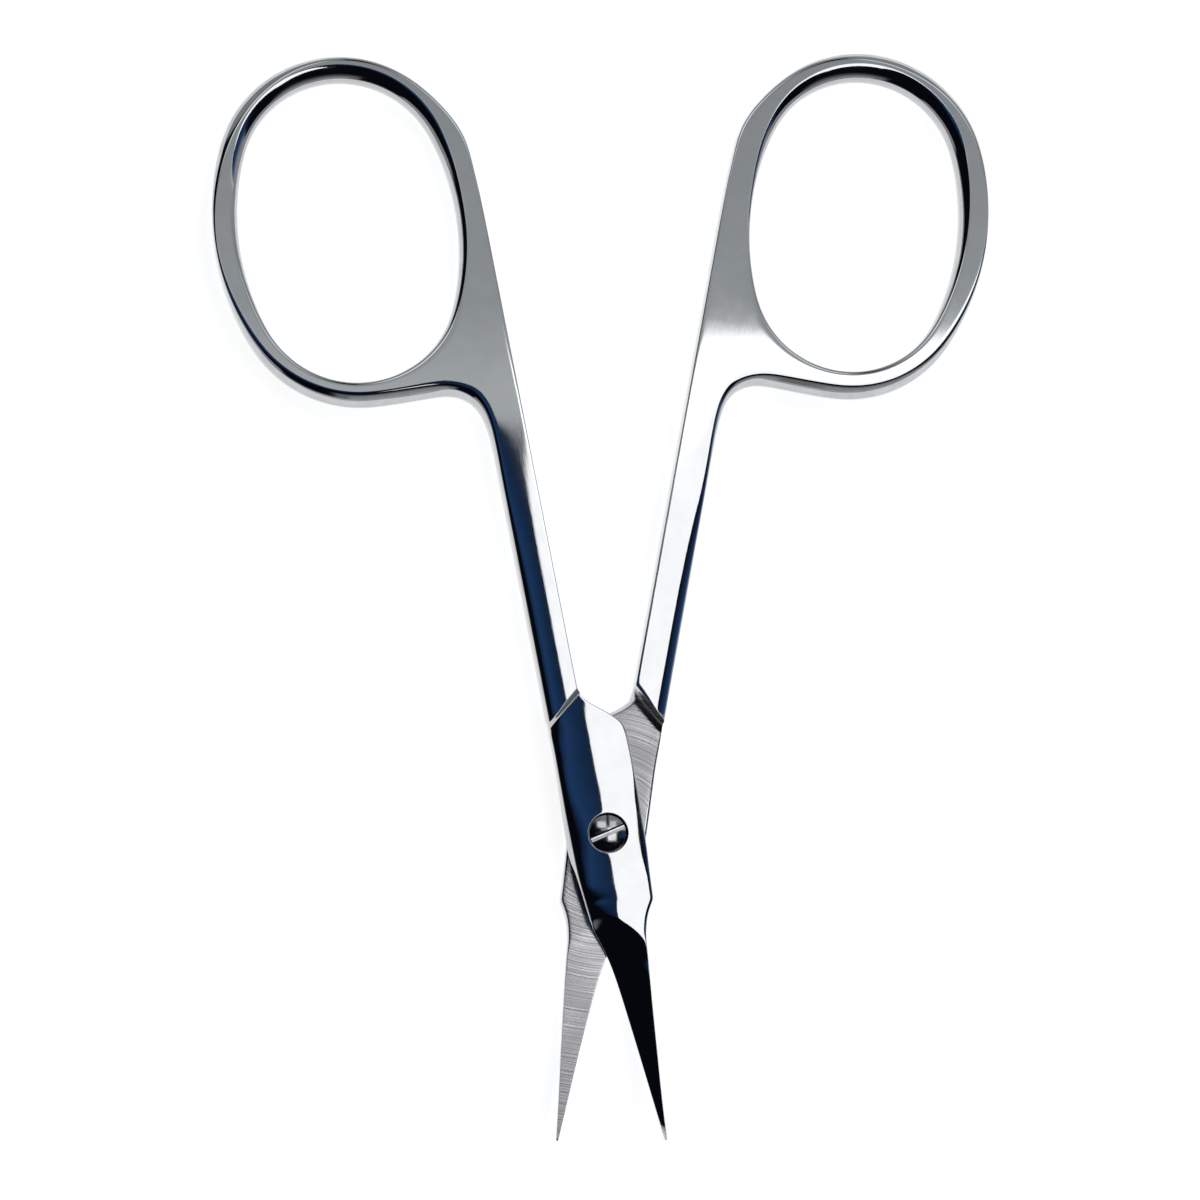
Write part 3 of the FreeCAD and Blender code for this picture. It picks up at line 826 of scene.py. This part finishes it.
# Table: a matt white sheet that the scissors lie on, evenly white to the eye and in the polish, which still
# takes their soft shadow.
table_reach = 3.0
table_white = (0.9, 0.9, 0.9, 1)
table_roughness = 0.9
table_glow = 0.8
floor_mesh = bpy.data.meshes.new("floor")
floor_corners = [(-table_reach, -table_reach, 0), (table_reach, -table_reach, 0),
                 (table_reach, table_reach, 0), (-table_reach, table_reach, 0)]
floor_mesh.from_pydata(floor_corners, [], [(0, 1, 2, 3)])
floor = bpy.data.objects.new("floor", floor_mesh)
bpy.context.scene.collection.objects.link(floor)
table = bpy.data.materials.new("white_table")
table.use_nodes = True
tree = table.node_tree
sheet = tree.nodes["Principled BSDF"]
sheet.inputs["Base Color"].default_value = table_white
sheet.inputs["Roughness"].default_value = table_roughness
sheet.inputs["Specular IOR Level"].default_value = 0
sheet.inputs["Emission Color"].default_value = (1, 1, 1, 1)
rays = add_node(tree, "ShaderNodeLightPath").outputs
seen = add_node(tree, "ShaderNodeMath", operation="MAXIMUM", _0=rays["Is Camera Ray"],
                _1=rays["Is Glossy Ray"])
shown = add_node(tree, "ShaderNodeMath", operation="MAXIMUM", _0=seen.outputs["Value"],
                 _1=rays["Is Transmission Ray"])
glow = add_node(tree, "ShaderNodeMath", operation="MULTIPLY", _0=shown.outputs["Value"], _1=table_glow)
tree.links.new(glow.outputs["Value"], sheet.inputs["Emission Strength"])
floor_mesh.materials.append(table)

# Lamp: one soft box that hangs above the screw, to the right. Its white face is what the inner sides of the
# shanks and the right side of the boss mirror.
lamp_size = (0.205, 0.3)
lamp_place = (0.1575, 0.03, 0.6)
lamp_radiance = 1.78
lamp_data = bpy.data.lights.new("softbox", "AREA")
lamp_data.shape = "RECTANGLE"
lamp_data.size, lamp_data.size_y = lamp_size
lamp_data.energy = lamp_radiance * math.pi * lamp_size[0] * lamp_size[1]
lamp = bpy.data.objects.new("softbox", lamp_data)
lamp.location = pivot + Vector(lamp_place)
bpy.context.scene.collection.objects.link(lamp)

# Room: what the polished steel mirrors, given by direction. It is dark overhead with blue light to both
# sides, and beyond the rings stands a pale wall with a dark doorway between two windows.
world = bpy.data.worlds.new("room")
bpy.context.scene.world = world
world.use_nodes = True
tree = world.node_tree
heading = add_node(tree, "ShaderNodeTexCoord").outputs["Generated"]
axes = add_node(tree, "ShaderNodeSeparateXYZ", Vector=heading).outputs


def even(value, start, end):
    return add_node(tree, "ShaderNodeMapRange", Value=value, From_Min=start, From_Max=end).outputs["Result"]


def fade(axis, start, end):
    return add_node(tree, "ShaderNodeMapRange", interpolation_type="SMOOTHSTEP", Value=axes[axis],
                    From_Min=start, From_Max=end).outputs["Result"]


def both(one, other):
    return add_node(tree, "ShaderNodeMath", operation="MULTIPLY", _0=one, _1=other).outputs["Value"]


def laid_over(share, under, over):
    over = over if isinstance(over, bpy.types.NodeSocket) else (*over, 1)
    return add_node(tree, "ShaderNodeMix", data_type="RGBA", _0=share, _6=under, _7=over).outputs[2]


dark = (0.003, 0.004, 0.007)
blue = ramp_node(tree, even(axes["X"], -1, 1), (0.1, dark), (0.285, dark), (0.33, (0.012, 0.035, 0.1)),
                 (0.39, (0.02, 0.065, 0.18)), (0.475, (0.014, 0.045, 0.125)), (0.53, (0.01, 0.03, 0.08)),
                 (0.555, dark), (0.71, dark), (0.81, (0.015, 0.04, 0.11)), (0.9, (0.03, 0.08, 0.2)),
                 (0.975, (0.35, 0.37, 0.4)))
room = laid_over(fade("Y", -0.02, -0.12), blue, dark)
slant = add_node(tree, "ShaderNodeMath", operation="MULTIPLY_ADD", _0=axes["X"], _1=-0.25, _2=axes["Y"])
room = laid_over(even(slant.outputs["Value"], 0.19, 0.22), room, dark)
# The wall beyond the rings, brightest along its top, and the doorway in it
wall = ramp_node(tree, even(axes["Y"], 0.19, 0.34), (0, (0.8, 0.83, 0.84)), (0.2, (0.48, 0.505, 0.515)),
                 (1, (0.32, 0.335, 0.345)))
room = laid_over(both(fade("Y", 0.188, 0.196), fade("X", -0.2, -0.14)), room, wall)
doorway_height = both(fade("Y", 0.34, 0.42), fade("Y", 0.8, 0.7))
doorway_width = both(fade("X", 0.03, 0.06), fade("X", 0.15, 0.12))
room = laid_over(both(doorway_height, doorway_width), room, dark)
# The lower part of the wall to the left, and the two windows
left_wall = (0.3, 0.315, 0.325)
room = laid_over(both(fade("Y", 0.54, 0.6), fade("X", -0.1, -0.16)), room, left_wall)
left_light = (1.3, 1.33, 1.38)
right_light = (1.1, 1.15, 1.2)
window_height = both(fade("Y", 0.29, 0.33), fade("Y", 0.56, 0.48))
left_window = both(fade("X", 0.03, 0), fade("X", -0.32, -0.26))
room = laid_over(both(window_height, left_window), room, left_light)
right_window = both(fade("X", 0.15, 0.18), fade("X", 0.42, 0.36))
room = laid_over(both(window_height, right_window), room, right_light)
# The dim wall on the side of the blades, the grey foot of the walls all round, and the horizon
dim_wall = (0.2, 0.205, 0.21)
grey_wall = (0.36, 0.37, 0.38)
horizon = (0.5, 0.5, 0.5)
near_wall = both(fade("Y", -0.45, -0.65), fade("X", -0.2, -0.1))
room = laid_over(both(fade("Z", 0.72, 0.4), near_wall), room, dim_wall)
room = laid_over(both(fade("Z", 0.38, 0.28), fade("X", -0.05, 0)), room, grey_wall)
left_corner = both(fade("X", -0.62, -0.7), fade("Y", 0, -0.1))
room = laid_over(both(fade("Z", 0.45, 0.33), left_corner), room, grey_wall)
room = laid_over(fade("Z", 0.12, 0.06), room, horizon)
tree.links.new(room, tree.nodes["Background"].inputs["Color"])

# Camera: stands high above the blades and a little to their left, as the photograph was taken. Its distances
# are in millimetres, and its scale in pixels of a 1200 by 1200 picture.
tip_side = math.radians(9.116)
left_side = math.radians(6.202)
roll = math.radians(-0.42)
distance = 434.9
pixels_per_mm = 10.754
picture = 1200
sensor = 36
aim = pivot + Vector((-0.37, 21.99, 0)) * MM
back_way = Vector((-math.sin(left_side) * math.cos(tip_side), -math.sin(tip_side),
                   math.cos(tip_side) * math.cos(left_side))).normalized()
right_way = Vector((0, 1, 0)).cross(back_way).normalized()
up_way = back_way.cross(right_way)
right_way, up_way = (math.cos(roll) * right_way + math.sin(roll) * up_way,
                     math.cos(roll) * up_way - math.sin(roll) * right_way)
turned_to = Matrix((right_way, up_way, back_way)).transposed().to_4x4()
camera_data = bpy.data.cameras.new("camera")
camera_data.sensor_width = sensor
camera_data.lens = pixels_per_mm * distance * sensor / picture
camera_data.clip_start = 0.01
camera_data.clip_end = 20
camera = bpy.data.objects.new("camera", camera_data)
bpy.context.scene.collection.objects.link(camera)
bpy.context.scene.camera = camera
camera.matrix_world = Matrix.Translation(aim + back_way * distance * MM) @ turned_to

bpy.context.scene.view_settings.view_transform = "Standard"
